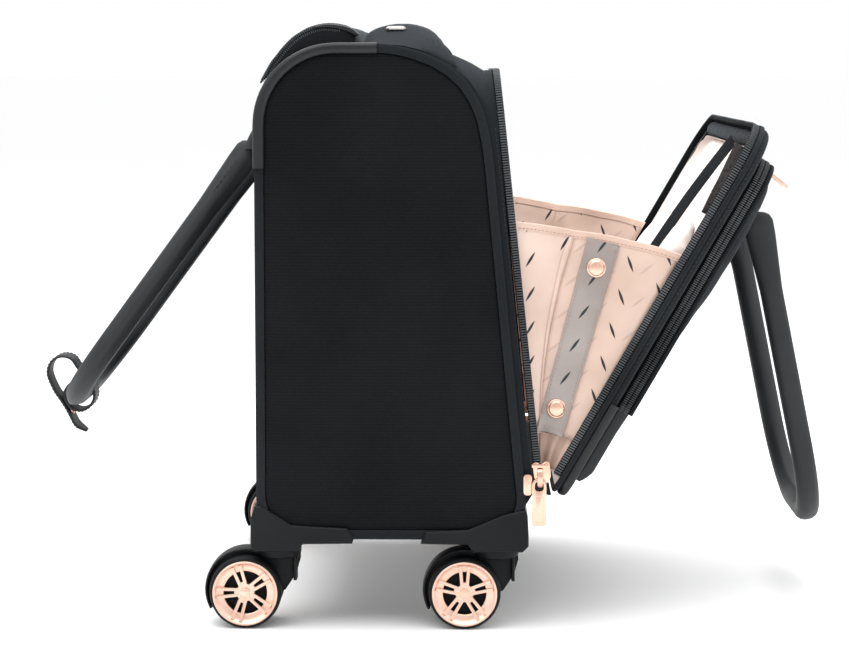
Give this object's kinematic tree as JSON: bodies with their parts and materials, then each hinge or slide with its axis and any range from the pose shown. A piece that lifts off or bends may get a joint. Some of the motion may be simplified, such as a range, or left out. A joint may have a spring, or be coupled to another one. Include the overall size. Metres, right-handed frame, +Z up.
{
  "type": "makeup train case",
  "caption": "Soft-sided rolling vanity case with a zipped clamshell lid, gusset stops, twin-wheel swivel casters, telescopic trolley and tote handles.",
  "frame": {"origin": "on the floor under the middle of the bounding box, with the lid open and the tote handles hanging", "axes": "+X towards the lid (front), +Y across the width, +Z up"},
  "size_m": [0.6204, 0.3502, 0.4522],
  "materials": {
    "body_fabric": "matte",
    "piping_vinyl": "satin",
    "zip_tape": "matte",
    "handle_leather": "satin",
    "guard_plastic": "satin",
    "wheel_plastic": "matte",
    "axle_steel": "satin",
    "trolley_metal": "satin",
    "rose_metal": "polished",
    "lining": "matte",
    "strap_webbing": "matte",
    "pocket_mesh": "matte"
  },
  "bodies": {
    "case": {"case_shell": "body_fabric", "left_side_panel": "body_fabric", "right_side_panel": "body_fabric", "left_side_piping": "piping_vinyl", "right_side_piping": "piping_vinyl", "case_zip_tape": "zip_tape", "hinge_strip": "piping_vinyl", "rear_left_guard": "guard_plastic", "rear_right_guard": "guard_plastic", "front_left_guard": "guard_plastic", "front_right_guard": "guard_plastic", "back_pocket": "body_fabric", "trolley_housing": "guard_plastic", "top_grab_handle": "body_fabric"},
    "gusset_fold": {"gusset_rear_left": "lining", "gusset_rear_right": "lining", "gusset_strap_left": "strap_webbing", "gusset_strap_right": "strap_webbing"},
    "lid": {"lid_shell": "body_fabric", "lid_zip_tape": "zip_tape", "lid_inner_pocket": "pocket_mesh", "front_pocket": "body_fabric", "gusset_front_left": "lining", "gusset_front_right": "lining", "lid_handle_anchor_left": "handle_leather", "lid_handle_anchor_right": "handle_leather"},
    "trolley_mid": {"trolley_mid_tube_left": "trolley_metal", "trolley_mid_tube_right": "trolley_metal"},
    "trolley_top": {"trolley_inner_tube_left": "trolley_metal", "trolley_inner_tube_right": "trolley_metal", "trolley_grip": "guard_plastic"},
    "trolley_button": {"trolley_button": "guard_plastic"},
    "back_handle": {"back_handle": "handle_leather"},
    "snap_tab": {"snap_tab": "handle_leather"},
    "lid_handle": {"lid_handle": "handle_leather"},
    "zip_slider_left": {"zip_slider_left": "rose_metal"},
    "zip_slider_right": {"zip_slider_right": "rose_metal"},
    "zip_pull_left": {"zip_pull_left": "rose_metal"},
    "zip_pull_right": {"zip_pull_right": "rose_metal"},
    "pocket_slider_left": {"pocket_slider_left": "rose_metal"},
    "pocket_slider_right": {"pocket_slider_right": "rose_metal"},
    "pocket_pull_left": {"pocket_pull_left": "rose_metal"},
    "pocket_pull_right": {"pocket_pull_right": "rose_metal"},
    "rear_left_caster": {"rear_left_fork": "guard_plastic", "rear_left_axle": "axle_steel"},
    "rear_right_caster": {"rear_right_fork": "guard_plastic", "rear_right_axle": "axle_steel"},
    "front_left_caster": {"front_left_fork": "guard_plastic", "front_left_axle": "axle_steel"},
    "front_right_caster": {"front_right_fork": "guard_plastic", "front_right_axle": "axle_steel"},
    "rear_left_wheel_outer": {"rear_left_wheel_outer": "wheel_plastic"},
    "rear_left_wheel_inner": {"rear_left_wheel_inner": "wheel_plastic"},
    "rear_right_wheel_outer": {"rear_right_wheel_outer": "wheel_plastic"},
    "rear_right_wheel_inner": {"rear_right_wheel_inner": "wheel_plastic"},
    "front_left_wheel_outer": {"front_left_wheel_outer": "wheel_plastic"},
    "front_left_wheel_inner": {"front_left_wheel_inner": "wheel_plastic"},
    "front_right_wheel_outer": {"front_right_wheel_outer": "wheel_plastic"},
    "front_right_wheel_inner": {"front_right_wheel_inner": "wheel_plastic"}
  },
  "joints": [
    {"name": "lid_hinge", "type": "hinge", "parent": "case", "child": "lid", "pos_m": [0.08646, 0, 0.1075], "axis": [0, 1, 0], "range_deg": [-36, 0]},
    {"name": "gusset_fold_hinge", "type": "hinge", "parent": "case", "child": "gusset_fold", "pos_m": [0.08646, 0, 0.1075], "axis": [0, 1, 0], "range_deg": [-18, 0]},
    {"name": "trolley_lower_slide", "type": "slide", "parent": "case", "child": "trolley_mid", "axis": [0, 0, 1], "range_m": [0, 0.27]},
    {"name": "trolley_upper_slide", "type": "slide", "parent": "trolley_mid", "child": "trolley_top", "axis": [0, 0, 1], "range_m": [0, 0.27]},
    {"name": "trolley_button_press", "type": "slide", "parent": "trolley_top", "child": "trolley_button", "axis": [0, 0, -1], "range_m": [0, 0.003], "stiffness_N_per_m": 300},
    {"name": "back_handle_swing", "type": "hinge", "parent": "case", "child": "back_handle", "pos_m": [-0.13754, 0, 0.356], "axis": [0, 1, 0], "range_deg": [-30, 135]},
    {"name": "snap_tab_turn", "type": "hinge", "parent": "back_handle", "child": "snap_tab", "pos_m": [-0.28637, 0, 0.15265], "axis": [0, 1, 0], "range_deg": [-50, 50]},
    {"name": "lid_handle_swing", "type": "hinge", "parent": "lid", "child": "lid_handle", "pos_m": [0.25293, 0, 0.30244], "axis": [0, 1, 0], "range_deg": [-130, 32]},
    {"name": "zip_slider_left_slide", "type": "slide", "parent": "case", "child": "zip_slider_left", "axis": [-0.1057, 0, 0.9944], "range_m": [0, 0.25]},
    {"name": "zip_slider_right_slide", "type": "slide", "parent": "case", "child": "zip_slider_right", "axis": [-0.1057, 0, 0.9944], "range_m": [0, 0.25]},
    {"name": "zip_pull_left_swing", "type": "hinge", "parent": "zip_slider_left", "child": "zip_pull_left", "pos_m": [0.08297, 0.1727, 0.11477], "axis": [1, 0, 0], "range_deg": [0, 80]},
    {"name": "zip_pull_right_swing", "type": "hinge", "parent": "zip_slider_right", "child": "zip_pull_right", "pos_m": [0.08297, -0.1727, 0.11477], "axis": [-1, 0, 0], "range_deg": [0, 80]},
    {"name": "pocket_slider_left_slide", "type": "slide", "parent": "lid", "child": "pocket_slider_left", "axis": [0, 1, 0], "range_m": [0, 0.1]},
    {"name": "pocket_slider_right_slide", "type": "slide", "parent": "lid", "child": "pocket_slider_right", "axis": [0, -1, 0], "range_m": [0, 0.1]},
    {"name": "pocket_pull_left_swing", "type": "hinge", "parent": "pocket_slider_left", "child": "pocket_pull_left", "pos_m": [0.25609, 0.012, 0.34562], "axis": [0, 1, 0], "range_deg": [-20, 48]},
    {"name": "pocket_pull_right_swing", "type": "hinge", "parent": "pocket_slider_right", "child": "pocket_pull_right", "pos_m": [0.25609, -0.012, 0.34562], "axis": [0, 1, 0], "range_deg": [-20, 48]},
    {"name": "rear_left_swivel", "type": "hinge", "parent": "case", "child": "rear_left_caster", "pos_m": [-0.11204, 0.146, 0.0605], "axis": [0, 0, 1], "continuous": true},
    {"name": "rear_right_swivel", "type": "hinge", "parent": "case", "child": "rear_right_caster", "pos_m": [-0.11204, -0.146, 0.0605], "axis": [0, 0, 1], "continuous": true},
    {"name": "front_left_swivel", "type": "hinge", "parent": "case", "child": "front_left_caster", "pos_m": [0.05196, 0.146, 0.0605], "axis": [0, 0, 1], "continuous": true},
    {"name": "front_right_swivel", "type": "hinge", "parent": "case", "child": "front_right_caster", "pos_m": [0.05196, -0.146, 0.0605], "axis": [0, 0, 1], "continuous": true},
    {"name": "rear_left_outer_roll", "type": "hinge", "parent": "rear_left_caster", "child": "rear_left_wheel_outer", "pos_m": [-0.13604, 0.146, 0.027], "axis": [0, 1, 0], "continuous": true},
    {"name": "rear_left_inner_roll", "type": "hinge", "parent": "rear_left_caster", "child": "rear_left_wheel_inner", "pos_m": [-0.13604, 0.146, 0.027], "axis": [0, 1, 0], "continuous": true},
    {"name": "rear_right_outer_roll", "type": "hinge", "parent": "rear_right_caster", "child": "rear_right_wheel_outer", "pos_m": [-0.13604, -0.146, 0.027], "axis": [0, 1, 0], "continuous": true},
    {"name": "rear_right_inner_roll", "type": "hinge", "parent": "rear_right_caster", "child": "rear_right_wheel_inner", "pos_m": [-0.13604, -0.146, 0.027], "axis": [0, 1, 0], "continuous": true},
    {"name": "front_left_outer_roll", "type": "hinge", "parent": "front_left_caster", "child": "front_left_wheel_outer", "pos_m": [0.02796, 0.146, 0.027], "axis": [0, 1, 0], "continuous": true},
    {"name": "front_left_inner_roll", "type": "hinge", "parent": "front_left_caster", "child": "front_left_wheel_inner", "pos_m": [0.02796, 0.146, 0.027], "axis": [0, 1, 0], "continuous": true},
    {"name": "front_right_outer_roll", "type": "hinge", "parent": "front_right_caster", "child": "front_right_wheel_outer", "pos_m": [0.02796, -0.146, 0.027], "axis": [0, 1, 0], "continuous": true},
    {"name": "front_right_inner_roll", "type": "hinge", "parent": "front_right_caster", "child": "front_right_wheel_inner", "pos_m": [0.02796, -0.146, 0.027], "axis": [0, 1, 0], "continuous": true}
  ],
  "couplings": [
    {"joint": "gusset_fold_hinge", "follows": "lid_hinge", "ratio": 0.5}
  ]
}
